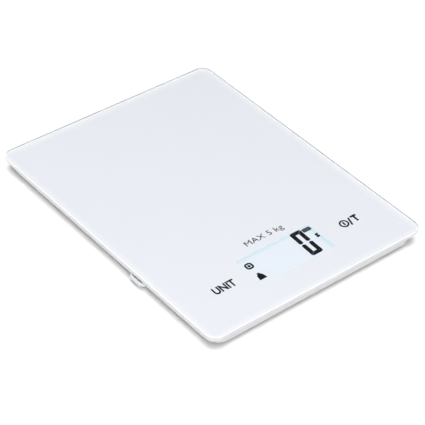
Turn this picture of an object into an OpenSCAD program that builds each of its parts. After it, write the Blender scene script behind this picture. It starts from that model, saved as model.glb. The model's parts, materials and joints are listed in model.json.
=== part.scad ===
// Slim electronic kitchen scale with a glass platform.
//
// Frame: +X to the right of a person facing the display, +Y to the back, +Z up.
// Origin: centre of the footprint, on the surface the feet stand on. Millimetres.
//
// The glass, its housing and everything inside are one rigid body. It stands on four feet,
// each pressing up on the tongue of its own load cell. The battery door is hinged underneath,
// and a hanging loop slides out of the left side.

/* [Platform] */
// Width of the glass platform
platform_w = 165; // [160:1:180]
// Depth of the glass platform, front to back
platform_l = 210; // [205:1:235]
// Thickness of the toughened glass
glass_t = 3; // [3:0.5:4]
// Corner radius of the glass, in plan
glass_r = 7.5; // [6:0.5:10]
// Ground chamfer along the edges of the glass
glass_chamfer = 0.4; // [0.2:0.1:0.6]
// Clear rim of glass outside the white back print
clear_rim = 1.2; // [1:0.1:3]

/* [Housing] */
// How far the glass overhangs the housing at the left and right
side_overhang = 4.2; // [3.5:0.1:4.4]
// How far the glass overhangs the housing at the front and back
end_overhang = 3.1; // [3:0.1:3.5]
// Corner radius of the housing, in plan
housing_r = 9.5; // [8:0.5:14]
// Gap between the housing and the surface it stands on
foot_gap = 2; // [1.6:0.1:2.5]
// Thickness of the bottom cover's floor
floor_t = 1.4; // [1.4:0.1:1.6]
// Thickness of the tray's plate under the glass
roof_t = 1.2; // [1:0.1:1.5]
// Height of the space inside the housing
cavity_h = 5; // [5:0.1:6]
// Thickness of the side walls
wall = 1.8; // [1.6:0.1:2]
// Chamfer round the housing's lower edge
bottom_chamfer = 1.4; // [1:0.1:1.6]

/* [Display and keys] */
// Width of the display window
window_w = 58; // [54:1:58]
// Depth of the display window
window_l = 24.5; // [22:0.5:25]
// Distance from the front edge of the glass to the window's centre
window_inset = 32.8; // [31.8:0.1:34]

/* [Feet and load cells] */
// Distance from the side edge of the glass to a foot's centre
foot_inset_x = 20.5; // [20:0.1:21]
// Distance from the front or back edge of the glass to a foot's centre
foot_inset_y = 19; // [18.8:0.1:19.4]
// Radius of a foot where it passes through the floor
foot_r = 8.5; // [8:0.1:8.5]
// Side of a load cell's square plate
cell_w = 20; // [19:0.5:20]
// Thickness of a load cell's steel plate
cell_t = 1.2; // [1:0.1:1.2]

/* [Battery] */
// Diameter of the coin cell
battery_d = 20; // [20:1:20]
// Height of the coin cell
battery_h = 3.2; // [2.5:0.7:3.2]
// Distance from the front edge of the glass to the coin cell's centre
battery_inset = 75; // [74:1:85]

/* [Hanging loop] */
// Distance from the front edge of the glass to the loop's centre
loop_inset = 73; // [72:1:90]
// Width of the loop at its outer bar
loop_tip_w = 11; // [10:0.5:11.5]
// Width of the loop where it leaves the housing
loop_w = 14; // [13.5:0.5:14]
// Thickness of the loop
loop_t = 1.8; // [1.6:0.1:2]
// How far the loop pulls out
loop_travel = 12; // [8:1:12]

/* [Hidden] */
$fn = 64;
eps = 0.01;

// Heights, from the supporting surface up
floor_top = foot_gap + floor_t;
split_z = floor_top + 0.8;
roof_z = floor_top + cavity_h;
tray_top = roof_z + roof_t;
tape_t = 0.25;
print_t = 0.15;
print_z = tray_top + tape_t;
glass_z = print_z + print_t;

// Housing in plan
housing_w = platform_w - 2 * side_overhang;
housing_l = platform_l - 2 * end_overhang;
lip_t = 1;
lip_gap = 0.1;
lip_h = 1.2;
inner_inset = wall + lip_gap + lip_t;

// Fastening of the cover to the tray
screw_r = 0.95;
screw_l = 4.2;
screw_head_r = 1.9;
screw_head_h = 1;
counterbore_r = 2.1;
counterbore_h = 1.2;
cover_boss_r = 3.2;
tray_boss_r = 2.6;
boss_split_z = floor_top + 1.2;
screw_x = platform_w / 2 - 12.5;
screw_places = [
    for (side = [-1, 1], y = [-55, 5, 60]) [side * screw_x, y],
    for (side = [-1, 1]) [side * 22, platform_l / 2 - 13]
];

// Display stack
window_y = window_inset - platform_l / 2;
display_w = 63;
film_w = 60;
film_l = 27;
lcd_sheet_t = 0.8;
lcd_z = tray_top - 0.1 - 2 * lcd_sheet_t;
lcd_back = 15.2;
lcd_front = 14.2;
ledge = 3;
lcd_l = lcd_back + lcd_front + ledge;
lcd_shift = (lcd_back - lcd_front - ledge) / 2;
film_y = window_y + 0.5;
film_t = 0.2;
light_w = film_w + 2;
light_l = 27;
light_t = 1.2;
light_top = lcd_z - 0.05;
led_w = 1.6;
strip_w = 58;
strip_l = 2;
strip_y = 0.3 - lcd_front - ledge;

// Circuit board
board_z = floor_top + 1.5;
board_t = 1;
board_top = board_z + board_t;
board_w = 84;
board_front = window_y - 19.8;
board_back = window_y + 19.3;
board_screw_x = 39;
board_screw_places = [
    for (side = [-1, 1], y = [board_front + 3, board_back - 3]) [side * board_screw_x, y]
];
board_screw_r = 0.6;
board_post_r = 2.2;
key_x = platform_w / 2 - foot_inset_x - 13.5;
key_spring_r = 2.8;
key_hole_r = 4.2;
key_turns = 4;
wing_w = 2 * key_x + 8;
wing_front = window_y - 3.8;

// Feet and load cells
foot_x = platform_w / 2 - foot_inset_x;
foot_y = platform_l / 2 - foot_inset_y;
foot_clearance = 0.4;
flange_r = foot_r + 1.3;
flange_z = floor_top + 0.1;
flange_t = 0.7;
pad_r = 7.5;
pad_t = 1.5;
pad_seat_z = 1;
button_r = 2.5;
cell_z = floor_top + 2.2;
cell_top = cell_z + cell_t;
cell_corner = 4;
tongue_w = 8;
tongue_tip = 4;
slot_w = 1.3;
slot_side = 6.8;
tongue_pin_r = 1.2;
retainer_r = 12.5;
retainer_bore_r = 10.2;
gauge_t = 0.5;

// Wiring
wire_r = 0.35;
wire_pitch = 0.9;
wire_z = cell_top + wire_r;
wire_bend = 2;

// Battery compartment and door
battery_y = battery_inset - platform_l / 2;
well_w = 26;
well_l = 27;
well_wall = 1.4;
battery_z = floor_top + 0.2;
well_top = battery_z + battery_h + 0.4;
well_roof_t = 0.8;
contact_t = 0.3;
contact_w = 6;
contact_end = battery_y - 18.3;
contact_gap = 0.15;
positive_x = -battery_d / 2 - contact_gap - contact_t;
positive_z = battery_z + 0.6;
door_gap = 0.25;
door_t = 1.2;
door_w = well_w - 2 * door_gap;
barrel_r = door_t;
hinge_y = battery_y + well_l / 2 - door_gap - barrel_r;
hinge_z = foot_gap + barrel_r;
door_front = battery_y - well_l / 2 + door_gap;
pin_r = 0.7;
pin_l = 1.5;
seat_r = 0.75;

// Hanging loop
loop_y = loop_inset - platform_l / 2;
loop_z = floor_top + 0.2;
loop_tip_x = 1 - platform_w / 2;
loop_bar = 1.3;
loop_flare = 2.4;
loop_corner = 1;
loop_hole_w = 9;
loop_hole_l = loop_travel + 2;
loop_ear_w = 18;
loop_ear_l = 4;
loop_gap = 0.35;
loop_stop_gap = 0.1;
loop_stop_x = inner_inset + loop_stop_gap - housing_w / 2;
loop_l = loop_stop_x - loop_tip_x + loop_travel + loop_ear_l;

corner_names = ["front_left", "front_right", "rear_left", "rear_right"];
corner_signs = [[-1, -1], [1, -1], [-1, 1], [1, 1]];
corner_parts = ["load_cell", "strain_gauge", "cell_retainer", "foot_cap", "foot_pad", "sensor_lead"];

// ---------------------------------------------------------------- shared shapes

// Rectangle with round corners
module rounded_rect(w, l, r) {
    square([w - 2 * r, l], center = true);
    square([w, l - 2 * r], center = true);
    for (x = [-1, 1], y = [-1, 1])
        translate([x * (w / 2 - r), y * (l / 2 - r)]) circle(r);
}

// Plate whose lower edge is cut back all round by a 45 degree chamfer
module chamfered_plate(w, l, r, h, chamfer) {
    translate([0, 0, chamfer]) linear_extrude(h - chamfer) rounded_rect(w, l, r);
    for (x = [-1, 1], y = [-1, 1])
        translate([x * (w / 2 - r), y * (l / 2 - r), 0]) cylinder(h = chamfer, r1 = r - chamfer, r2 = r);
    rotate([90, 0, 0]) linear_extrude(l - 2 * r, center = true) chamfer_profile(w / 2, chamfer);
    rotate([90, 0, 90]) linear_extrude(w - 2 * r, center = true) chamfer_profile(l / 2, chamfer);
}

// Cross-section of a chamfered plate's lower edge
module chamfer_profile(half, chamfer)
    polygon([[chamfer - half, 0], [half - chamfer, 0], [half, chamfer], [-half, chamfer]]);

// Flat ring between two rounded rectangles; the inner one is inset by t
module frame_ring(w, l, r, t)
    difference() {
        rounded_rect(w, l, r);
        rounded_rect(w - 2 * t, l - 2 * t, max(r - t, 0.5));
    }

// Copies of a shape at a list of places, raised to height z
module at_each(places, z)
    for (place = places)
        translate([place[0], place[1], z]) children();

// Two quarter turns and a drop: the wire that runs along Y, turns along X and ends on the board.
// (x, y) is its start, turn_y the line that it turns on, end_x where it drops.
module wire(x, y, turn_y, end_x) {
    along = sign(turn_y - y);
    across = sign(end_x - x);
    drop = wire_z - board_top;
    down = wire_r + 0.25;
    translate([x, (y + turn_y - along * wire_bend) / 2, wire_z]) rotate([90, 0, 0])
        cylinder(h = abs(turn_y - y) - wire_bend, r = wire_r, center = true);
    translate([x + across * wire_bend, turn_y - along * wire_bend, wire_z])
        mirror([across > 0 ? 1 : 0, 0, 0]) mirror([0, along < 0 ? 1 : 0, 0])
            rotate_extrude(angle = 90) translate([wire_bend, 0]) circle(wire_r);
    translate([(x + across * wire_bend + end_x - across * down) / 2, turn_y, wire_z]) rotate([0, 90, 0])
        cylinder(h = abs(end_x - x) - wire_bend - down, r = wire_r, center = true);
    translate([end_x - across * down, turn_y, wire_z - down]) mirror([across > 0 ? 0 : 1, 0, 0])
        rotate([90, 0, 0]) rotate_extrude(angle = 90) translate([down, 0]) circle(wire_r);
    translate([end_x, turn_y, board_top]) cylinder(h = drop - down, r = wire_r);
}

// Round coil of wire standing on the board
module coil(r, h, turns, wire) {
    sides = 8;
    steps = 18;
    rings = turns * steps;
    pitch = (h - 2 * wire) / turns;
    points = [
        for (i = [0 : rings], k = [0 : sides - 1])
            let (turn = 360 * i / steps, face = 360 * k / sides)
            let (reach = r - wire + wire * cos(face))
            [reach * cos(turn), reach * sin(turn), wire + pitch * i / steps + wire * sin(face)]
    ];
    walls = [
        for (i = [0 : rings - 1], k = [0 : sides - 1])
            let (a = i * sides + k, b = i * sides + (k + 1) % sides)
            [a, a + sides, b + sides, b]
    ];
    first_end = [for (k = [0 : sides - 1]) k];
    last_end = [for (k = [0 : sides - 1]) rings * sides + sides - 1 - k];
    polyhedron(points, concat(walls, [first_end, last_end]), convexity = 10);
}

// ---------------------------------------------------------------- platform

// Toughened glass with ground and polished edges
module glass_platform()
    color("aliceblue", 0.35) translate([0, 0, glass_z]) intersection() {
        chamfered_plate(platform_w, platform_l, glass_r, glass_t, glass_chamfer);
        translate([0, 0, glass_t]) mirror([0, 0, 1])
            chamfered_plate(platform_w, platform_l, glass_r, glass_t, glass_chamfer);
    }

// White enamel printed on the underside of the glass, left open over the display
module white_back_print()
    color("whitesmoke") translate([0, 0, print_z]) linear_extrude(print_t) difference() {
        rounded_rect(platform_w - 2 * clear_rim, platform_l - 2 * clear_rim, glass_r - clear_rim);
        translate([0, window_y]) rounded_rect(window_w, window_l, 1);
    }

// Double-sided tape that holds the glass on the tray
module mounting_tape() {
    tape_w = 8;
    tape_inset = 1.5;
    color("lightgray") translate([0, 0, tray_top]) linear_extrude(tape_t) {
        frame_ring(housing_w - 2 * tape_inset, housing_l - 2 * tape_inset, housing_r - tape_inset, tape_w);
        for (y = [0, 45])
            translate([0, y]) square([housing_w - 2 * tape_inset - tape_w, tape_w], center = true);
    }
}

// ---------------------------------------------------------------- housing

// Slot in the left side wall that the hanging loop slides through
module loop_slot()
    translate([-housing_w / 2 - 1, loop_y - loop_w / 2 - loop_gap, floor_top])
        cube([inner_inset + 1.1, loop_w + 2 * loop_gap, loop_t + 0.45]);

// Moulded tray: the plate that carries the glass, its skirt, bosses, ribs and load cell stops
module upper_tray() {
    opening_w = display_w + 1.4;
    opening_l = lcd_l + 1;
    boss_h = roof_z - boss_split_z;
    stop_r = 1.8;
    stop_reach = cell_w / 2 - 2.2;
    stop_places = [for (x = [-1, 1], y = [-1, 1]) [x * stop_reach, y * stop_reach]];
    rib_t = 1.2;
    rib_h = 1.6;
    rib_w = 106;
    rib_l = 68;
    loop_rib_l = 12;
    loop_rib_y = 5.8;
    loop_rib_z = loop_z + loop_t + 0.2;
    color("white") difference() {
        union() {
            translate([0, 0, roof_z]) linear_extrude(roof_t) rounded_rect(housing_w, housing_l, housing_r);
            translate([0, 0, split_z]) linear_extrude(roof_z - split_z + eps)
                frame_ring(housing_w, housing_l, housing_r, wall);
            at_each(screw_places, boss_split_z) cylinder(h = boss_h + eps, r = tray_boss_r);
            for (corner = corner_signs)
                translate([corner[0] * foot_x, corner[1] * foot_y, cell_top])
                    at_each(stop_places, 0) cylinder(h = roof_z - cell_top + eps, r = stop_r);
            for (x = [-rib_w / 3, 0, rib_w / 3])
                translate([x - rib_t / 2, 0, roof_z - rib_h]) cube([rib_t, rib_l, rib_h + eps]);
            for (y = [0, rib_l / 2, rib_l])
                translate([-rib_w / 2, y - rib_t / 2, roof_z - rib_h]) cube([rib_w, rib_t, rib_h + eps]);
            for (side = [-1, 1])
                translate([wall - eps - housing_w / 2, loop_y + side * loop_rib_y - rib_t / 2, loop_rib_z])
                    cube([loop_rib_l, rib_t, roof_z - loop_rib_z + eps]);
        }
        translate([0, window_y + lcd_shift, roof_z - 1]) linear_extrude(roof_t + 2)
            square([opening_w, opening_l], center = true);
        for (side = [-1, 1])
            translate([side * key_x, window_y, roof_z - 1]) cylinder(h = roof_t + 2, r = key_hole_r);
        at_each(screw_places, boss_split_z - 1) cylinder(h = boss_h + 0.8, r = screw_r + 0.05);
        loop_slot();
    }
}

// Walls, roof and hinge seats of the battery compartment
module battery_well() {
    outer_w = well_w + 2 * well_wall;
    outer_l = well_l + 2 * well_wall;
    outer_h = well_top + well_roof_t - floor_top;
    seat_w = 3;
    seat_l = 4;
    seat_h = hinge_z + 1.6 - floor_top;
    translate([-outer_w / 2, battery_y - outer_l / 2, floor_top - eps])
        cube([outer_w, outer_l, outer_h + eps]);
    for (side = [-1, 1])
        translate([side * (well_w / 2 + seat_w / 2), hinge_y, floor_top + seat_h / 2])
            cube([seat_w, seat_l, seat_h + 2 * eps], center = true);
}

// Space inside the battery compartment, with four corner pieces that centre the coin cell
module battery_space() {
    fit_r = battery_d / 2 + 0.3;
    finger_l = 5;
    space_front = battery_y - well_l / 2;
    corner_l = hinge_y - barrel_r - 0.5 - space_front;
    tab_h = contact_t + 0.1;
    difference() {
        translate([-well_w / 2, space_front, foot_gap - 1]) cube([well_w, well_l, well_top - foot_gap + 1]);
        difference() {
            translate([-well_w / 2 - 1, space_front - 1, battery_z])
                cube([well_w + 2, corner_l + 1, well_top]);
            translate([0, battery_y, battery_z - 1]) cylinder(h = well_top + 2, r = fit_r);
            translate([-well_w / 2, battery_y - finger_l / 2, battery_z - 1])
                cube([well_w, finger_l, well_top + 2]);
            positive_strip(contact_gap);
        }
    }
    positive_strip(contact_gap);
    translate([-contact_w / 2 - 0.2, contact_end - 1, well_top - tab_h])
        cube([contact_w + 0.4, battery_y - contact_end, tab_h + eps]);
}

// Upright strip of the positive contact, grown by a clearance
module positive_strip(gap) {
    strip_end = battery_y + 4;
    strip_h = battery_h - 0.8;
    translate([positive_x - gap, contact_end - gap, positive_z - gap])
        cube([contact_t + 2 * gap, strip_end - contact_end + 2 * gap, strip_h + 2 * gap]);
}

// Walls that guide the hanging loop and stop it at rest
module loop_guides() {
    rail_t = 1.2;
    rail_h = loop_t + 0.4;
    start_x = wall - housing_w / 2;
    back_x = loop_tip_x + loop_l + 0.2;
    rail_y = loop_ear_w / 2 + loop_gap;
    translate([0, loop_y, floor_top - eps]) {
        for (side = [-1, 1])
            translate([start_x, side * (rail_y + rail_t / 2) - rail_t / 2, 0])
                cube([back_x - start_x, rail_t, rail_h]);
        translate([back_x, -rail_y - rail_t, 0]) cube([rail_t, 2 * (rail_y + rail_t), rail_h]);
    }
}

// Moulded floor of the scale, with the openings for the feet, battery and hanging loop
module bottom_cover() {
    label_w = 62;
    label_l = 30;
    label_y = 42;
    label_r = 3;
    label_recess = 0.3;
    thumb_r = 7;
    thumb_recess = 0.7;
    post_h = board_z - floor_top;
    seat_l = pin_l + 0.4;
    inner_w = housing_w - 2 * inner_inset;
    inner_l = housing_l - 2 * inner_inset;
    inner_r = housing_r - inner_inset;
    color("white") difference() {
        union() {
            difference() {
                translate([0, 0, foot_gap])
                    chamfered_plate(housing_w, housing_l, housing_r, split_z - foot_gap, bottom_chamfer);
                translate([0, 0, floor_top]) linear_extrude(split_z) rounded_rect(inner_w, inner_l, inner_r);
            }
            translate([0, 0, split_z - 0.2]) linear_extrude(lip_h + 0.2)
                frame_ring(inner_w + 2 * lip_t, inner_l + 2 * lip_t, inner_r + lip_t, lip_t);
            at_each(screw_places, floor_top - eps)
                cylinder(h = boss_split_z - floor_top + eps, r = cover_boss_r);
            at_each(board_screw_places, floor_top - eps) cylinder(h = post_h + eps, r = board_post_r);
            battery_well();
            loop_guides();
        }
        battery_space();
        loop_slot();
        for (corner = corner_signs)
            translate([corner[0] * foot_x, corner[1] * foot_y, foot_gap - 1])
                cylinder(h = floor_t + 2, r = foot_r + foot_clearance);
        at_each(screw_places, foot_gap - 1) cylinder(h = floor_t + 3, r = screw_r + 0.2);
        at_each(screw_places, foot_gap - 1) cylinder(h = 1 + counterbore_h, r = counterbore_r);
        at_each(board_screw_places, floor_top + 0.2) cylinder(h = post_h, r = board_screw_r + 0.05);
        for (side = [-1, 1])
            translate([side * (door_w + seat_l) / 2, hinge_y, hinge_z]) rotate([0, 90, 0])
                cylinder(h = seat_l + 2 * door_gap, r = seat_r, center = true);
        translate([0, label_y, foot_gap - 1]) linear_extrude(1 + label_recess)
            rounded_rect(label_w, label_l, label_r);
        translate([0, door_front - door_gap, foot_gap - 1]) intersection() {
            cylinder(h = 1 + thumb_recess, r = thumb_r);
            translate([-thumb_r, -thumb_r, 0]) cube([2 * thumb_r, thumb_r, 1 + thumb_recess]);
        }
    }
}

// Self-tapping screws that hold the cover to the tray
module case_screws() {
    recess_l = 2.4;
    recess_w = 0.4;
    recess_h = 0.5;
    color("silver") at_each(screw_places, foot_gap + counterbore_h - screw_head_h) difference() {
        union() {
            cylinder(h = screw_head_h, r = screw_head_r);
            cylinder(h = screw_head_h + screw_l, r = screw_r);
        }
        for (turn = [0, 90])
            rotate(turn) translate([-recess_l / 2, -recess_w / 2, -1])
                cube([recess_l, recess_w, recess_h + 1]);
    }
}

// ---------------------------------------------------------------- electronics

// Outline of the circuit board: a middle part and a wing under each touch key
module board_outline() {
    middle_l = board_back - board_front;
    wing_l = board_back - wing_front;
    translate([0, (board_front + board_back) / 2]) rounded_rect(board_w, middle_l, 1.5);
    translate([0, (wing_front + board_back) / 2]) rounded_rect(wing_w, wing_l, 3);
}

// Circuit board under the display and both keys
module circuit_board()
    color("seagreen") translate([0, 0, board_z]) linear_extrude(board_t) difference() {
        board_outline();
        at_each(board_screw_places, 0) circle(board_screw_r + 0.5);
    }

// Controller bonded under the board, below its drop of black resin
module controller_chip() {
    blob_r = 5;
    blob_h = 1;
    sphere_r = (blob_r * blob_r + blob_h * blob_h) / (2 * blob_h);
    color("#181818") translate([0, window_y, board_z]) intersection() {
        translate([0, 0, sphere_r - blob_h]) sphere(sphere_r, $fn = 128);
        translate([0, 0, -blob_h]) cylinder(h = blob_h, r = blob_r + 1);
    }
}

// Small parts soldered under the board
module board_components() {
    color("tan") translate([0, window_y, board_z]) {
        for (x = [-30 : 4 : -10])
            translate([x, -9, -0.6]) cube([1.6, 0.8, 0.6]);
        for (x = [12 : 5 : 32])
            translate([x, 7, -0.9]) cube([2, 1.2, 0.9]);
        translate([-24, 6, -1.2]) cube([4.5, 3.2, 1.2]);
        translate([18, -10, -1.1]) cube([3, 1.5, 1.1]);
    }
}

// Screws that hold the board on its posts
module board_screws()
    color("silver") at_each(board_screw_places, board_top) {
        cylinder(h = 0.8, r = 1.7);
        translate([0, 0, -board_t - 1]) cylinder(h = board_t + 1.1, r = board_screw_r);
    }

// Liquid crystal cell: a lower sheet with a contact ledge in front, and a shorter upper sheet
module lcd_panel() {
    upper_l = lcd_l - ledge;
    color("lightsteelblue") translate([-display_w / 2, window_y, lcd_z]) {
        translate([0, -lcd_front - ledge, 0]) cube([display_w, lcd_l, lcd_sheet_t]);
        translate([0, -lcd_front, lcd_sheet_t - eps]) cube([display_w, upper_l, lcd_sheet_t + eps]);
    }
}

// Polarising film on top of the liquid crystal cell
module display_film()
    color("lightcyan") translate([0, film_y, lcd_z + 2 * lcd_sheet_t])
        linear_extrude(film_t) square([film_w, film_l], center = true);

// Foam ring that keeps crumbs out of the display
module display_gasket()
    color("#303030") translate([0, film_y, lcd_z + 2 * lcd_sheet_t])
        linear_extrude(print_z - tray_top + 0.1) difference() {
            square([display_w, film_l + 2.2], center = true);
            square([film_w + 0.4, film_l + 0.4], center = true);
        }

// Frame on the board that holds the display, its backlight and the contact strip
module display_holder() {
    side = 3;
    fit = 0.2;
    outer_w = display_w + 2 * side;
    outer_l = lcd_l + 4;
    holder_h = roof_z - board_top - 0.1;
    color("white") translate([0, window_y, 0]) difference() {
        translate([-outer_w / 2, lcd_shift - outer_l / 2, board_top]) cube([outer_w, outer_l, holder_h]);
        translate([-light_w / 2 - fit, -light_l / 2 - fit, board_top - 1])
            cube([light_w + 2 * fit, light_l + 2 * fit, holder_h + 2]);
        translate([-display_w / 2 - fit, -lcd_front - ledge - fit, light_top])
            cube([display_w + 2 * fit, lcd_l + 2 * fit, holder_h]);
        translate([-strip_w / 2 - fit, strip_y - fit / 2, board_top - 1])
            cube([strip_w + 2 * fit, strip_l + fit, holder_h + 2]);
    }
}

// Striped rubber that joins the board to the contact ledge
module contact_strip()
    color("dimgray") translate([-strip_w / 2, window_y + strip_y, board_top])
        cube([strip_w, strip_l, lcd_z - board_top]);

// Acrylic plate that spreads the backlight
module backlight_guide()
    color("azure") translate([-light_w / 2, window_y - light_l / 2, light_top - light_t])
        cube([light_w - led_w - 0.5, light_l, light_t]);

// Light-emitting diodes at the right end of the guide
module backlight_leds() {
    led_l = 3;
    led_h = light_top - 0.05 - board_top;
    color("lightyellow") for (y = [-8, 0, 8])
        translate([light_w / 2 - led_w, window_y + y - led_l / 2, board_top]) cube([led_w, led_l, led_h]);
}

// Coil that carries a touch key's field up to the glass
module key_spring(side)
    color("gold") translate([side * key_x, window_y, board_top])
        coil(key_spring_r, print_z - board_top, key_turns, 0.25);

module unit_key_spring() key_spring(-1);
module power_key_spring() key_spring(1);

// ---------------------------------------------------------------- power

// Lithium coin cell, can downwards
module coin_cell() {
    r = battery_d / 2;
    cap_h = 0.3;
    color("silver") translate([0, battery_y, battery_z]) rotate_extrude()
        polygon([[0, 0], [r - 0.4, 0], [r, 0.4], [r, battery_h - cap_h - 0.3], [r - 0.3, battery_h - cap_h],
                 [r - 1.7, battery_h - cap_h], [r - 1.9, battery_h], [0, battery_h]]);
}

// Leaf that presses on the rim of the can, with its foot on the board
module battery_contact_positive() {
    foot_l = 2;
    bead_l = 2;
    color("goldenrod") {
        positive_strip(0);
        translate([positive_x, contact_end, board_top])
            cube([contact_t, foot_l, positive_z - board_top + eps]);
        translate([positive_x + contact_t - eps, battery_y - bead_l / 2, positive_z + 0.4])
            cube([contact_gap - eps, bead_l, 1.4]);
    }
}

// Leaf that presses on the middle of the cell's negative face
module battery_contact_negative() {
    leaf_end = battery_y + 8;
    bead_r = 1.5;
    bead_z = battery_z + battery_h;
    color("goldenrod") {
        translate([-contact_w / 2, contact_end, well_top - contact_t])
            cube([contact_w, leaf_end - contact_end, contact_t]);
        translate([-contact_w / 2, contact_end, board_top])
            cube([contact_w, contact_t, well_top - board_top]);
        translate([0, battery_y, bead_z]) cylinder(h = well_top - contact_t - bead_z + eps, r = bead_r);
    }
}

// Two wires from the battery contacts to the board
module battery_leads() {
    lead_r = 0.45;
    lead_l = 5.4;
    color("firebrick") for (x = [positive_x + contact_t / 2, 0])
        translate([x, contact_end, board_top + lead_r]) rotate([90, 0, 0]) cylinder(h = lead_l, r = lead_r);
}

// Door with a moulded hinge barrel and pins, a finger tongue and grip ridges
module battery_door() {
    finger_w = 9;
    finger_l = 8;
    slit = 0.7;
    ridge_w = finger_w - 2;
    ridge_l = 0.7;
    ridge_h = 0.3;
    catch_l = 0.15;
    catch_h = 0.4;
    panel_l = hinge_y - door_front;
    color("white") difference() {
        union() {
            translate([-door_w / 2, door_front, foot_gap]) cube([door_w, panel_l, door_t]);
            translate([0, hinge_y, hinge_z]) rotate([0, 90, 0]) {
                cylinder(h = door_w, r = barrel_r, center = true);
                cylinder(h = door_w + 2 * pin_l, r = pin_r, center = true);
            }
            translate([-ridge_w / 2, door_front - catch_l, foot_gap + catch_h])
                cube([ridge_w, catch_l + 0.05, catch_h]);
            for (y = [1.2, 2.8, 4.4])
                translate([-ridge_w / 2, door_front + y, foot_gap - ridge_h])
                    cube([ridge_w, ridge_l, ridge_h + eps]);
        }
        for (side = [-1, 1])
            translate([side * (finger_w + slit) / 2 - slit / 2, door_front - 1, foot_gap - 1])
                cube([slit, finger_l + 1, door_t + 2]);
    }
}

// ---------------------------------------------------------------- load cells and feet

// Steel plate with a tongue cut free on three sides, which bends as the foot presses on it
module load_cell() {
    strip_reach = slot_side + 1;
    strip_x = tongue_w / 2 + slot_w;
    color("silver") translate([0, 0, cell_z]) linear_extrude(cell_t) difference() {
        rounded_rect(cell_w, cell_w, cell_corner);
        difference() {
            translate([-slot_side, -slot_side]) square([2 * slot_side, 2 * slot_side - 1]);
            translate([-tongue_w / 2, -tongue_tip]) square([tongue_w, slot_side + tongue_tip]);
            translate([-strip_reach, -strip_reach]) square([strip_reach - strip_x, 2 * strip_reach]);
            translate([strip_x, -strip_reach]) square([strip_reach - strip_x, 2 * strip_reach]);
        }
        circle(tongue_pin_r + 0.1);
    }
}

// Strain gauge under its coat of silicone, at the root of the tongue
module strain_gauge()
    color("ivory") translate([0, slot_side - 1.5, cell_top]) linear_extrude(gauge_t) rounded_rect(6, 4, 1.2);

// Ring that holds the rim of the load cell up from the floor
module cell_retainer()
    color("gainsboro") translate([0, 0, floor_top]) difference() {
        cylinder(h = cell_z - floor_top, r = retainer_r);
        translate([0, 0, -1]) cylinder(h = cell_z, r = retainer_bore_r);
    }

// Moulded foot: a disc, a flange that keeps it in the housing, and a button under the tongue
module foot_cap()
    color("white") rotate_extrude()
        polygon([[0, pad_t], [pad_r + 0.1, pad_t], [pad_r + 0.1, pad_seat_z], [foot_r - 0.4, pad_seat_z],
                 [foot_r, pad_seat_z + 0.4], [foot_r, flange_z], [flange_r, flange_z],
                 [flange_r, flange_z + flange_t], [button_r, flange_z + flange_t], [button_r, cell_z],
                 [tongue_pin_r, cell_z], [tongue_pin_r, cell_top], [0, cell_top]]);

// Rubber pad with two shallow grip grooves
module foot_pad() {
    groove_t = 0.3;
    edge = 0.4;
    groove = [[-0.6, 0], [-0.3, groove_t], [0.3, groove_t], [0.6, 0]];
    color("gray") rotate_extrude()
        polygon([[0, 0], for (r = [3.1, 5.6], point = groove) [r + point[0], point[1]],
                 [pad_r - edge, 0], [pad_r, edge], [pad_r, pad_t], [0, pad_t]]);
}

// Three wires from one strain gauge to the board; corner holds the signs of the foot's X and Y
module sensor_lead(corner) {
    start_y = corner[1] * (foot_y - slot_side - 0.5);
    end_x = corner[0] * (key_x + 1.5);
    turn_y = corner[1] < 0 ? board_back - 12 : board_back - 4.5;
    color("crimson") for (k = [-1 : 1])
        wire(corner[0] * (foot_x + k * wire_pitch), start_y, turn_y + corner[1] * -k * wire_pitch, end_x);
}

// ---------------------------------------------------------------- hanging loop

// Flat loop: a tapered outer end with a hole behind its bar, straight arms and two ears that stop it
module hanging_loop() {
    tip = loop_tip_w / 2;
    arm = loop_w / 2;
    outline = [[loop_corner, -tip], [loop_flare, -arm], [loop_l, -arm],
               [loop_l, arm], [loop_flare, arm], [loop_corner, tip]];
    color("white") translate([loop_tip_x, loop_y, loop_z]) linear_extrude(loop_t) difference() {
        union() {
            polygon(concat([[0, loop_corner - tip]], outline, [[0, tip - loop_corner]]));
            translate([loop_l - loop_ear_l, -loop_ear_w / 2]) square([loop_ear_l, loop_ear_w]);
        }
        translate([loop_bar + loop_hole_l / 2, 0]) rounded_rect(loop_hole_l, loop_hole_w, loop_corner);
    }
}

// ---------------------------------------------------------------- assembly

// Puts a shape that is drawn about a front foot at the given foot, turned half round at the rear
module at_foot(corner)
    translate([corner[0] * foot_x, corner[1] * foot_y, 0]) rotate(corner[1] > 0 ? 180 : 0) children();

glass_platform();
white_back_print();
mounting_tape();
upper_tray();
bottom_cover();
case_screws();
circuit_board();
controller_chip();
board_components();
board_screws();
lcd_panel();
display_film();
display_gasket();
display_holder();
contact_strip();
backlight_guide();
backlight_leds();
unit_key_spring();
power_key_spring();
coin_cell();
battery_contact_positive();
battery_contact_negative();
battery_leads();
battery_door();
hanging_loop();
for (i = [0 : 3]) {
    name = corner_names[i];
    signs = corner_signs[i];
    at_foot(signs) load_cell();
    at_foot(signs) strain_gauge();
    at_foot(signs) cell_retainer();
    at_foot(signs) foot_cap();
    at_foot(signs) foot_pad();
    sensor_lead(signs);
}
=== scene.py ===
import json
import math

import bmesh
import bpy
from mathutils import Matrix, Vector


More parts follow.
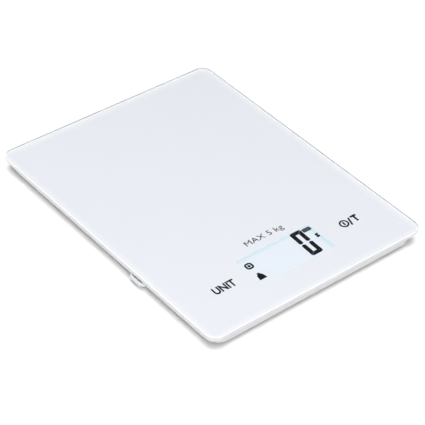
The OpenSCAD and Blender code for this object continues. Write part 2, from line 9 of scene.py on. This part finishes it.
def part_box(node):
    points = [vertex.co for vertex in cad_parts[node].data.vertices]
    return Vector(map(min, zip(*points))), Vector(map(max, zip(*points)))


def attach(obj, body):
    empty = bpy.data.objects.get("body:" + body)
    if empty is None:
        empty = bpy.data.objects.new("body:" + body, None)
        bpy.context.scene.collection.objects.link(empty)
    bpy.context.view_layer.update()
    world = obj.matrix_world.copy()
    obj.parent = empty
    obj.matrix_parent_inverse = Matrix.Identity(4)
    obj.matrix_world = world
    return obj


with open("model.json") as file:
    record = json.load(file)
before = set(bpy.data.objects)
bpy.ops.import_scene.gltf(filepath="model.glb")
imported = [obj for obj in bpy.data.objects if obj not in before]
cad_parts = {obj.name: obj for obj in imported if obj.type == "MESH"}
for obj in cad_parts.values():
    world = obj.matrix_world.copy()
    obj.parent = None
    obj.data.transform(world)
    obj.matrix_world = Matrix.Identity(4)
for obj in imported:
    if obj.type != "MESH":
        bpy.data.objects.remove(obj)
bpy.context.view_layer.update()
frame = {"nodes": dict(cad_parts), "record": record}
MM = 0.001

# The body that all printed shapes ride on
HOUSING = "housing"

# ---------------------------------------------------------------- places, from the frame


def middle_of(node):
    """Middle of a CAD node's box."""
    low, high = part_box(node)
    return (low + high) / 2


GLASS_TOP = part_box("glass_platform")[1].z
PRINT_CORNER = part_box("white_back_print")[1]
FILM_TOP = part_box("display_film")[1].z
FILM_MIDDLE = middle_of("display_film")
KEY_LEFT = middle_of("unit_key_spring")
KEY_RIGHT = middle_of("power_key_spring")

# ---------------------------------------------------------------- node helpers


def new_material(name):
    """Empty node material; returns it with its tree and its output node."""
    material = bpy.data.materials.new(name)
    material.use_nodes = True
    tree = material.node_tree
    tree.nodes.clear()
    output = tree.nodes.new("ShaderNodeOutputMaterial")
    return material, tree, output


def add_node(tree, kind, **inputs):
    """Adds a node and sets its inputs by name, with spaces written as underscores."""
    node = tree.nodes.new(kind)
    for name, value in inputs.items():
        node.inputs[name.replace("_", " ")].default_value = value
    return node


def noise(tree, scale, detail, stretch=(1, 1, 1)):
    """Noise over the object's own coordinates, in metres, stretched along its axes."""
    place = tree.nodes.new("ShaderNodeTexCoord")
    mapping = add_node(tree, "ShaderNodeMapping", Scale=stretch)
    texture = add_node(tree, "ShaderNodeTexNoise", Scale=scale, Detail=detail)
    tree.links.new(place.outputs["Object"], mapping.inputs["Vector"])
    tree.links.new(mapping.outputs["Vector"], texture.inputs["Vector"])
    return texture.outputs["Fac"]


def remap(tree, value, low, high):
    """Maps a 0 to 1 value onto low to high."""
    node = add_node(tree, "ShaderNodeMapRange", To_Min=low, To_Max=high)
    tree.links.new(value, node.inputs["Value"])
    return node.outputs["Result"]


def blend_colours(tree, factor, first, second):
    """Mixes two colours by a factor socket; either may itself be a socket."""
    node = tree.nodes.new("ShaderNodeMix")
    node.data_type = "RGBA"
    tree.links.new(factor, node.inputs["Factor"])
    for socket, colour in ((node.inputs[6], first), (node.inputs[7], second)):
        if isinstance(colour, bpy.types.NodeSocket):
            tree.links.new(colour, socket)
        else:
            socket.default_value = (*colour, 1)
    return node.outputs[2]


def bump(tree, height, distance):
    """Surface relief of the given depth in metres."""
    node = add_node(tree, "ShaderNodeBump", Strength=1.0, Distance=distance)
    tree.links.new(height, node.inputs["Height"])
    return node.outputs["Normal"]


def compute(tree, operation, *values):
    """Math node over one or two sockets."""
    node = tree.nodes.new("ShaderNodeMath")
    node.operation = operation
    for socket, value in zip(node.inputs, values):
        tree.links.new(value, socket)
    return node.outputs["Value"]


def own_axes(tree):
    """The object's own X, Y and Z at the shaded point, by name."""
    place = tree.nodes.new("ShaderNodeTexCoord")
    split = tree.nodes.new("ShaderNodeSeparateXYZ")
    tree.links.new(place.outputs["Object"], split.inputs["Vector"])
    return split.outputs


def soft_step(tree, value, start, end):
    """Rises smoothly from 0 to 1 while the value goes from start to end."""
    node = add_node(tree, "ShaderNodeMapRange", From_Min=start, From_Max=end)
    node.interpolation_type = "SMOOTHSTEP"
    tree.links.new(value, node.inputs["Value"])
    return node.outputs["Result"]


def mix_shaders(tree, factor, first, second):
    """Mixes two shader nodes by a factor socket."""
    node = tree.nodes.new("ShaderNodeMixShader")
    tree.links.new(factor, node.inputs["Fac"])
    tree.links.new(first.outputs[0], node.inputs[1])
    tree.links.new(second.outputs[0], node.inputs[2])
    return node


# ---------------------------------------------------------------- materials

# Scale of the slow colour drift that every plain surface has
BROAD_SCALE = 40


def moulded(name, colour, shade, roughness, spread, grain, depth, stretch=(1, 1, 1), **shader):
    """Surface whose colour and gloss drift a little over a fine grain with relief."""
    material, tree, output = new_material(name)
    body = add_node(tree, "ShaderNodeBsdfPrincipled", **shader)
    fine = noise(tree, grain, 6.0, stretch)
    broad = noise(tree, BROAD_SCALE, 2.0)
    tree.links.new(blend_colours(tree, broad, colour, shade), body.inputs["Base Color"])
    gloss = remap(tree, fine, roughness - spread, roughness + spread)
    tree.links.new(gloss, body.inputs["Roughness"])
    tree.links.new(bump(tree, fine, depth), body.inputs["Normal"])
    tree.links.new(body.outputs["BSDF"], output.inputs["Surface"])
    return material


# How milky the glass is on its ground sides and on its chamfers, and how pale its ground face is
SIDE_FROST = 0.85
CHAMFER_FROST = 1.0
GROUND_COLOUR = (0.89, 0.90, 0.92, 1)
GLASS_IOR = 1.5


def platform_glass():
    """Clear glass that lets the lamps through, with ground edges where the face isn't level."""
    material, tree, output = new_material("platform_glass")
    clear = add_node(tree, "ShaderNodeBsdfPrincipled", Base_Color=(0.975, 0.99, 1, 1), Roughness=0.0,
                     IOR=GLASS_IOR, Transmission_Weight=1.0)
    ground = add_node(tree, "ShaderNodeBsdfPrincipled", Base_Color=GROUND_COLOUR, Roughness=0.35,
                      IOR=GLASS_IOR)
    geometry = tree.nodes.new("ShaderNodeNewGeometry")
    split = tree.nodes.new("ShaderNodeSeparateXYZ")
    tree.links.new(geometry.outputs["Normal"], split.inputs["Vector"])
    level = compute(tree, "ABSOLUTE", split.outputs["Z"])
    off_level = add_node(tree, "ShaderNodeMapRange", From_Min=0.95, From_Max=0.8)
    tree.links.new(level, off_level.inputs["Value"])
    frost = add_node(tree, "ShaderNodeMapRange", From_Max=0.6, To_Min=SIDE_FROST, To_Max=CHAMFER_FROST)
    tree.links.new(level, frost.inputs["Value"])
    milky = compute(tree, "MULTIPLY", off_level.outputs["Result"], frost.outputs["Result"])
    faces = mix_shaders(tree, milky, clear, ground)
    open_way = add_node(tree, "ShaderNodeBsdfTransparent", Color=(0.98, 0.99, 1, 1))
    light_path = tree.nodes.new("ShaderNodeLightPath")
    through = mix_shaders(tree, light_path.outputs["Is Shadow Ray"], faces, open_way)
    tree.links.new(through.outputs["Shader"], output.inputs["Surface"])
    return material


# The back print: two close whites over its middle, and a lighter white along its border that is a painted
# highlight of the glass edge
PRINT_WHITES = ((0.885, 0.888, 0.918), (0.875, 0.878, 0.908))
EDGE_HIGHLIGHT_WHITE = (0.92, 0.922, 0.945)
EDGE_HIGHLIGHT_WIDTH = 4.0 * MM


def white_enamel():
    """Back print of the glass: white, a little lighter within a few millimetres of its edge, where a
    highlight of the glass rim is painted in.
    """
    material, tree, output = new_material("white_enamel")
    axes = own_axes(tree)
    edge_highlights = []
    # Painted highlight: the print is made lighter near its edge, where the glass rim looks brighter
    for axis, half in (("X", PRINT_CORNER.x), ("Y", PRINT_CORNER.y)):
        reach = compute(tree, "ABSOLUTE", axes[axis])
        edge_highlights.append(soft_step(tree, reach, half - EDGE_HIGHLIGHT_WIDTH, half - EDGE_HIGHLIGHT_WIDTH / 2))
    edge_highlight = compute(tree, "MAXIMUM", *edge_highlights)
    middle = blend_colours(tree, noise(tree, BROAD_SCALE, 2.0), *PRINT_WHITES)
    body = tree.nodes.new("ShaderNodeBsdfPrincipled")
    tree.links.new(blend_colours(tree, edge_highlight, middle, EDGE_HIGHLIGHT_WHITE), body.inputs["Base Color"])
    tree.links.new(remap(tree, noise(tree, 900, 6.0), 0.2, 0.3), body.inputs["Roughness"])
    tree.links.new(body.outputs["BSDF"], output.inputs["Surface"])
    return material


# The lit display: its face, a painted shade that makes it bluer along the window's edge, and where the
# window ends that the painted shade follows
LIT_COLOUR = (0.87, 0.875, 0.93)
WINDOW_SHADE_COLOUR = (0.58, 0.77, 0.84)
WINDOW_SHADE_WIDTH = 3.4 * MM
WINDOW_BACK = FILM_MIDDLE.y + 11.6 * MM
WINDOW_RIGHT = FILM_MIDDLE.x + 28.0 * MM
FILM_GREYS = ((0.34, 0.38, 0.41), (0.36, 0.40, 0.43))
GLOW = 0.63


def lit_display():
    """Polarising film lit from behind, with painted shade of the window's edge that makes it darker and
    bluer along its back and right edges.
    """
    material, tree, output = new_material("display_film")
    axes = own_axes(tree)
    # Painted shade: a darker, bluer strip inside the window's back and right edges
    window_shades = [soft_step(tree, axes[axis], edge - WINDOW_SHADE_WIDTH, edge)
            for axis, edge in (("Y", WINDOW_BACK), ("X", WINDOW_RIGHT))]
    window_shade = compute(tree, "MAXIMUM", *window_shades)
    cloud = noise(tree, 60, 2.0)
    body = add_node(tree, "ShaderNodeBsdfPrincipled", Emission_Strength=GLOW)
    tree.links.new(blend_colours(tree, window_shade, LIT_COLOUR, WINDOW_SHADE_COLOUR), body.inputs["Emission Color"])
    tree.links.new(blend_colours(tree, cloud, *FILM_GREYS), body.inputs["Base Color"])
    tree.links.new(remap(tree, cloud, 0.25, 0.35), body.inputs["Roughness"])
    tree.links.new(body.outputs["BSDF"], output.inputs["Surface"])
    return material


# Each row: colour, shade, roughness, its spread, scale of the grain, depth of the grain in metres, and
# for some how far the grain is squeezed along x, y and z.
PLASTICS = {
    "foam_tape": ((0.78, 0.78, 0.76), (0.72, 0.72, 0.70), 0.9, 0.05, 2500, 4e-5),
    "housing_plastic": ((0.74, 0.75, 0.77), (0.72, 0.73, 0.75), 0.38, 0.06, 3500, 6e-6),
    "frame_plastic": ((0.74, 0.75, 0.76), (0.70, 0.71, 0.72), 0.5, 0.08, 2500, 1e-5),
    "foot_plastic": ((0.66, 0.67, 0.68), (0.62, 0.63, 0.64), 0.45, 0.08, 2500, 1e-5),
    "foot_rubber": ((0.42, 0.43, 0.44), (0.36, 0.37, 0.38), 0.85, 0.08, 5000, 3e-5),
    "board_laminate": ((0.02, 0.16, 0.07), (0.03, 0.22, 0.10), 0.35, 0.1, 700, 2e-5),
    "black_resin": ((0.010, 0.010, 0.012), (0.016, 0.016, 0.018), 0.25, 0.1, 600, 3e-5),
    "component_ceramic": ((0.40, 0.30, 0.20), (0.30, 0.22, 0.15), 0.5, 0.1, 2000, 2e-5),
    "lcd_glass": ((0.60, 0.70, 0.78), (0.56, 0.66, 0.74), 0.08, 0.03, 400, 1e-6),
    "black_foam": ((0.020, 0.020, 0.022), (0.032, 0.032, 0.034), 0.9, 0.05, 2500, 6e-5),
    "striped_rubber": ((0.06, 0.06, 0.07), (0.20, 0.20, 0.21), 0.7, 0.1, 2500, 2e-5, (8, 1, 1)),
    "silicone": ((0.80, 0.78, 0.72), (0.74, 0.72, 0.66), 0.45, 0.1, 800, 4e-5),
    "wire_insulation": ((0.45, 0.03, 0.03), (0.36, 0.03, 0.03), 0.4, 0.08, 2500, 1e-5),
    "clear_acrylic": ((0.74, 0.82, 0.88), (0.70, 0.79, 0.86), 0.15, 0.05, 800, 2e-6),
    "led_resin": ((0.85, 0.82, 0.50), (0.80, 0.76, 0.44), 0.3, 0.08, 900, 1e-5),
}
METALS = {
    "screw_steel": ((0.62, 0.62, 0.63), (0.52, 0.52, 0.53), 0.32, 0.1, 3000, 5e-6),
    "load_cell_steel": ((0.58, 0.59, 0.60), (0.50, 0.51, 0.52), 0.35, 0.1, 1500, 5e-6, (1, 12, 1)),
    "spring_metal": ((0.70, 0.55, 0.28), (0.60, 0.47, 0.24), 0.28, 0.08, 3000, 3e-6),
    "contact_metal": ((0.66, 0.56, 0.34), (0.58, 0.48, 0.29), 0.3, 0.08, 3000, 3e-6, (1, 8, 1)),
    "cell_steel": ((0.66, 0.66, 0.67), (0.60, 0.60, 0.61), 0.22, 0.08, 1500, 3e-6, (1, 10, 1)),
}

MATERIALS = {name: moulded(name, *look) for name, look in PLASTICS.items()}
MATERIALS.update((name, moulded(name, *look, Metallic=1.0)) for name, look in METALS.items())
MATERIALS["platform_glass"] = platform_glass()
MATERIALS["white_enamel"] = white_enamel()
MATERIALS["display_film"] = lit_display()

# Printed labels, the dark segments of the display, and the paler unit bar
INK = moulded("black_ink", (0.006, 0.006, 0.008), (0.010, 0.010, 0.012), 0.5, 0.1, 1500, 1e-6,
              Specular_IOR_Level=0.1)
SEGMENT = moulded("dark_segment", (0.004, 0.004, 0.006), (0.008, 0.008, 0.010), 0.4, 0.1, 800, 1e-6,
                  Specular_IOR_Level=0.1)
FAINT = moulded("faint_segment", (0.055, 0.060, 0.068), (0.075, 0.080, 0.088), 0.4, 0.1, 800, 1e-6)

for entry in frame["record"]["subparts"]:
    mesh = frame["nodes"][entry["node"]].data
    mesh.materials.clear()
    mesh.materials.append(MATERIALS[entry["material_slot"]])

# ---------------------------------------------------------------- soft edges on the moulded pieces

# Edge radii in millimetres, and the angle from which an edge counts as sharp
EDGE_RADII = {"upper_tray": 0.25, "bottom_cover": 0.3, "battery_door": 0.15, "hanging_loop": 0.4}
SMALL_PIECES = ("foot_cap_", "foot_pad_", "load_cell_", "cell_retainer_")
SMALL_RADIUS = 0.15
SHARP = math.radians(35)


def soften(node, width, segments):
    """Rounds a CAD node's sharp edges with a modifier, leaving its mesh as packed."""
    bevel = frame["nodes"][node].modifiers.new("soft_edges", "BEVEL")
    bevel.width = width
    bevel.segments = segments
    bevel.limit_method = "ANGLE"
    bevel.angle_limit = SHARP
    bevel.harden_normals = True


for name, radius in EDGE_RADII.items():
    soften(name, radius * MM, 3)
for name in frame["nodes"]:
    if name.startswith(SMALL_PIECES):
        soften(name, SMALL_RADIUS * MM, 2)

# The print stands clear of the glass by a hair, so that no two faces share a place.
PRINT_DROP = 0.06 * MM
lowered = frame["nodes"]["white_back_print"].modifiers.new("clear_of_glass", "DISPLACE")
lowered.direction = "Z"
lowered.mid_level = 0
lowered.strength = -PRINT_DROP

# ---------------------------------------------------------------- flat printed shapes


def ride_and_slot(piece):
    """Lets a printed shape ride on the housing."""
    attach(piece, HOUSING)


def flat_piece(name, outlines, height, thickness, material):
    """Thin solid with the given outlines, each a list of (x, y) in metres."""
    mesh = bpy.data.meshes.new(name)
    shape = bmesh.new()
    for outline in outlines:
        ring = [shape.verts.new((x, y, height)) for x, y in outline]
        shape.faces.new(ring)
    bmesh.ops.recalc_face_normals(shape, faces=shape.faces)
    for face in shape.faces:
        if face.normal.z < 0:
            face.normal_flip()
    top = bmesh.ops.extrude_face_region(shape, geom=list(shape.faces))
    moved = [v for v in top["geom"] if isinstance(v, bmesh.types.BMVert)]
    bmesh.ops.translate(shape, verts=moved, vec=(0, 0, thickness))
    bmesh.ops.recalc_face_normals(shape, faces=shape.faces)
    shape.to_mesh(mesh)
    shape.free()
    piece = bpy.data.objects.new(name, mesh)
    bpy.context.scene.collection.objects.link(piece)
    mesh.materials.append(material)
    ride_and_slot(piece)


def arc(centre, radius, start, end, steps):
    """Points along an arc, angles in degrees."""
    return [
        (centre[0] + radius * math.cos(math.radians(start + (end - start) * i / steps)),
         centre[1] + radius * math.sin(math.radians(start + (end - start) * i / steps)))
        for i in range(steps + 1)
    ]


def disc(centre, radius):
    """Outline of a filled round dot, in 24 points."""
    return arc(centre, radius, 0, 345, 23)


def rounded_outline(centre, width, depth, radius):
    """Rectangle with round corners."""
    x, y = width / 2 - radius, depth / 2 - radius
    corners = ((x, y, 0), (-x, y, 90), (-x, -y, 180), (x, -y, 270))
    return [p for cx, cy, a in corners for p in arc((centre[0] + cx, centre[1] + cy), radius, a, a + 90, 6)]


def slanted(outline, origin, slant):
    """Leans an outline to the right by the given rise over run, about its origin's height."""
    return [(x + (y - origin[1]) * slant, y) for x, y in outline]


# ---------------------------------------------------------------- display symbols

DIGIT_SIZE = (8.6 * MM, 22.8 * MM)
DIGIT_PLACE = (16.9 * MM, FILM_MIDDLE.y + 0.1 * MM)
DIGIT_STROKE = 2.95 * MM
DIGIT_CORNER = 1.5 * MM
DIGIT_SLANT = 0.035
# Half the gap between the upper and lower bars, the slit at each corner, and the point of a bar as a
# share of its stroke
DIGIT_GAP = 0.2 * MM
DIGIT_SLIT = 0.1 * MM
DIGIT_TAPER = 0.28
SYMBOL_T = 0.05 * MM
ICON_X = -24.3 * MM


def zero_outlines(place, size, stroke, corner):
    """Seven-segment outlines of a zero: four upright bars and two level ones, none across the middle."""
    half_w, half_h = size[0] / 2, size[1] / 2
    gap, slit, taper = DIGIT_GAP, DIGIT_SLIT, DIGIT_TAPER * stroke
    bend = (half_w - corner, half_h - corner)
    inner = (half_w - stroke, half_h - stroke)
    upright = [(half_w - stroke / 2, gap), (half_w, gap + taper)]
    upright += arc((bend[0], bend[1] - slit), corner, 0, 45, 4)
    upright += [(inner[0], inner[1] - slit), (inner[0], gap + taper)]
    half_bar = [*arc(bend, corner, 90, 45, 4), inner]
    level = [(-x, y) for x, y in reversed(half_bar)] + half_bar
    bars = [[(place[0] + i * x, place[1] + k * y) for x, y in upright] for i in (-1, 1) for k in (-1, 1)]
    return bars + [[(place[0] + x, place[1] + k * y) for x, y in level] for k in (-1, 1)]


digit = zero_outlines(DIGIT_PLACE, DIGIT_SIZE, DIGIT_STROKE, DIGIT_CORNER)
digit = [slanted(bar, DIGIT_PLACE, DIGIT_SLANT) for bar in digit]
flat_piece("digit_zero", digit, FILM_TOP, SYMBOL_T, SEGMENT)

bar_place = (25.1 * MM, FILM_MIDDLE.y + 9.0 * MM)
unit_bar = rounded_outline(bar_place, 6.3 * MM, 3.2 * MM, 0.9 * MM)
flat_piece("unit_bar", [unit_bar], FILM_TOP, SYMBOL_T, FAINT)


def ring_bars(centre, outer, inner):
    """A ring as four curved bars that meet end to end."""
    return [
        arc(centre, outer, start, start + 90, 48) + arc(centre, inner, start + 90, start, 48)
        for start in (0, 90, 180, 270)
    ]


def square_ring(centre, size, stroke, corner):
    """A square ring with round corners, as four bars that meet on the diagonals."""
    half = size / 2
    hole = half - stroke
    bars = []
    for turn in range(4):
        angle = turn * math.pi / 2
        outer = [(half - corner, -half), *arc((half - corner, corner - half), corner, -90, -45, 4)]
        side = [(-x, y) for x, y in reversed(outer)] + outer
        bar = side + [(hole, -hole), (-hole, -hole)]
        bars.append([
            (centre[0] + x * math.cos(angle) - y * math.sin(angle),
             centre[1] + x * math.sin(angle) + y * math.cos(angle))
            for x, y in bar
        ])
    return bars


zero_icon = (ICON_X, FILM_MIDDLE.y + 4.3 * MM)
zero_shapes = square_ring(zero_icon, 5.4 * MM, 1.3 * MM, 2.0 * MM)
zero_shapes += [disc(zero_icon, 1.0 * MM)]
flat_piece("zero_icon", zero_shapes, FILM_TOP, SYMBOL_T, SEGMENT)

weight_icon = (ICON_X, FILM_MIDDLE.y - 6.4 * MM)
weight_body = ((-2.7, -2.7), (2.7, -2.7), (2.0, 1.2), (1.3, 1.7), (-1.3, 1.7), (-2.0, 1.2))
weight_shapes = [
    [(weight_icon[0] + x * MM, weight_icon[1] + y * MM) for x, y in weight_body],
    disc((weight_icon[0], weight_icon[1] + 2.1 * MM), 1.1 * MM),
]
flat_piece("weight_icon", weight_shapes, FILM_TOP, SYMBOL_T, SEGMENT)

# ---------------------------------------------------------------- printed labels

LABEL_Y = KEY_LEFT.y
LABEL_T = 0.03 * MM
LABEL_HEIGHT = PRINT_CORNER.z - PRINT_DROP
CAP_HEIGHT = 6.0 * MM


def label(name, words, place, cap_height, width, boldness, height, material):
    """Flat lettering centred on a place, stretched to the given width."""
    curve = bpy.data.curves.new(name, "FONT")
    curve.body = words
    curve.align_x = "CENTER"
    curve.align_y = "CENTER"
    curve.offset = boldness
    curve.extrude = LABEL_T / 2
    piece = bpy.data.objects.new(name, curve)
    bpy.context.scene.collection.objects.link(piece)
    bpy.context.view_layer.update()
    evaluated = piece.evaluated_get(bpy.context.evaluated_depsgraph_get())
    shape = bpy.data.meshes.new_from_object(evaluated)
    bpy.data.objects.remove(piece)
    low = Vector(map(min, zip(*(v.co for v in shape.vertices))))
    high = Vector(map(max, zip(*(v.co for v in shape.vertices))))
    middle, size = (low + high) / 2, high - low
    scale = Matrix.Diagonal((width / size.x, cap_height / size.y, 1, 1))
    move = Matrix.Translation((place[0], place[1], height + LABEL_T / 2))
    shape.transform(move @ scale @ Matrix.Translation((-middle.x, -middle.y, 0)))
    shape.materials.clear()
    shape.materials.append(material)
    piece = bpy.data.objects.new(name, shape)
    bpy.context.scene.collection.objects.link(piece)
    ride_and_slot(piece)


unit_place = (KEY_LEFT.x + 0.7 * MM, LABEL_Y - 0.6 * MM)
label("unit_label", "UNIT", unit_place, CAP_HEIGHT, 15.9 * MM, 0.035, LABEL_HEIGHT, INK)
tare_place = (KEY_RIGHT.x + 7.8 * MM, LABEL_Y)
label("tare_label", "T", tare_place, CAP_HEIGHT, 4.5 * MM, 0.06, LABEL_HEIGHT, INK)
range_place = (0.5 * MM, FILM_MIDDLE.y + 19.4 * MM)
label("range_label", "MAX 5 kg", range_place, 5.6 * MM, 29.0 * MM, 0.0, LABEL_HEIGHT, INK)
gram_place = (27.0 * MM, FILM_MIDDLE.y + 1.3 * MM)
label("gram_label", "g", gram_place, 3.6 * MM, 2.6 * MM, 0.06, FILM_TOP, SEGMENT)

power_place = (KEY_RIGHT.x - 1.4 * MM, LABEL_Y - 0.2 * MM)
power_shapes = ring_bars(power_place, 3.3 * MM, 2.15 * MM)
power_bar = (power_place[0], power_place[1] + 0.1 * MM)
power_shapes += [rounded_outline(power_bar, 1.3 * MM, 2.9 * MM, 0.1 * MM)]
flat_piece("power_label", power_shapes, LABEL_HEIGHT, LABEL_T, INK)
slash_place = (KEY_RIGHT.x + 3.2 * MM, LABEL_Y - 0.7 * MM)
slash = rounded_outline(slash_place, 1.25 * MM, 6.4 * MM, 0.1 * MM)
flat_piece("slash_label", [slanted(slash, slash_place, 0.3)], LABEL_HEIGHT, LABEL_T, INK)

# ---------------------------------------------------------------- stage, camera and lights

FLOOR_SIZE = 6.0
half = FLOOR_SIZE / 2
floor_corners = [(-half, -half, 0), (half, -half, 0), (half, half, 0), (-half, half, 0)]
floor_mesh = bpy.data.meshes.new("floor")
floor_mesh.from_pydata(floor_corners, [], [(0, 1, 2, 3)])
floor_paper = moulded("floor_paper", (0.90, 0.90, 0.90), (0.89, 0.89, 0.89), 0.9, 0.05, 200, 1e-6)
floor_mesh.materials.append(floor_paper)
floor = bpy.data.objects.new("floor", floor_mesh)
bpy.context.scene.collection.objects.link(floor)

CAMERA_AIM = Vector((-11.9 * MM, -18.4 * MM, GLASS_TOP))
CAMERA_TURN = math.radians(41.65)
CAMERA_RISE = math.radians(39.76)
CAMERA_ROLL = math.radians(3.48)
CAMERA_DISTANCE = 1.033
CAMERA_LENS = 144.5

back = Vector((
    -math.sin(CAMERA_TURN) * math.cos(CAMERA_RISE),
    -math.cos(CAMERA_TURN) * math.cos(CAMERA_RISE),
    math.sin(CAMERA_RISE),
))
camera_data = bpy.data.cameras.new("camera")
camera_data.lens = CAMERA_LENS
camera = bpy.data.objects.new("camera", camera_data)
camera.matrix_world = (
    Matrix.Translation(CAMERA_AIM + back * CAMERA_DISTANCE)
    @ back.to_track_quat("Z", "Y").to_matrix().to_4x4()
    @ Matrix.Rotation(CAMERA_ROLL, 4, "Z")
)
bpy.context.scene.collection.objects.link(camera)
bpy.context.scene.camera = camera


def soft_light(name, place, size, power, colour):
    """Square lamp facing the middle of the platform; the glass doesn't mirror it."""
    data = bpy.data.lights.new(name, "AREA")
    data.shape = "SQUARE"
    data.size = size
    data.energy = power
    data.color = colour
    lamp = bpy.data.objects.new(name, data)
    lamp.visible_glossy = False
    lamp.visible_transmission = False
    lamp.location = place
    away = Vector(place) - Vector((0, 0, GLASS_TOP))
    lamp.rotation_euler = away.to_track_quat("Z", "Y").to_euler()
    bpy.context.scene.collection.objects.link(lamp)


soft_light("key", place=(-0.6, -0.64, 4.0), size=2.0, power=150, colour=(1, 1, 1))
soft_light("fill", place=(-2.2, -2.4, 3.0), size=2.6, power=106, colour=(1, 0.975, 0.95))

STUDIO_GLOW = 0.08
world = bpy.data.worlds.new("studio")
world.use_nodes = True
background = world.node_tree.nodes["Background"]
background.inputs["Color"].default_value = (1, 1, 1, 1)
background.inputs["Strength"].default_value = STUDIO_GLOW
bpy.context.scene.world = world
bpy.context.scene.view_settings.view_transform = "Standard"
# The glass already lets the lamps through, so refracted light isn't counted a second time.
bpy.context.scene.cycles.caustics_refractive = False
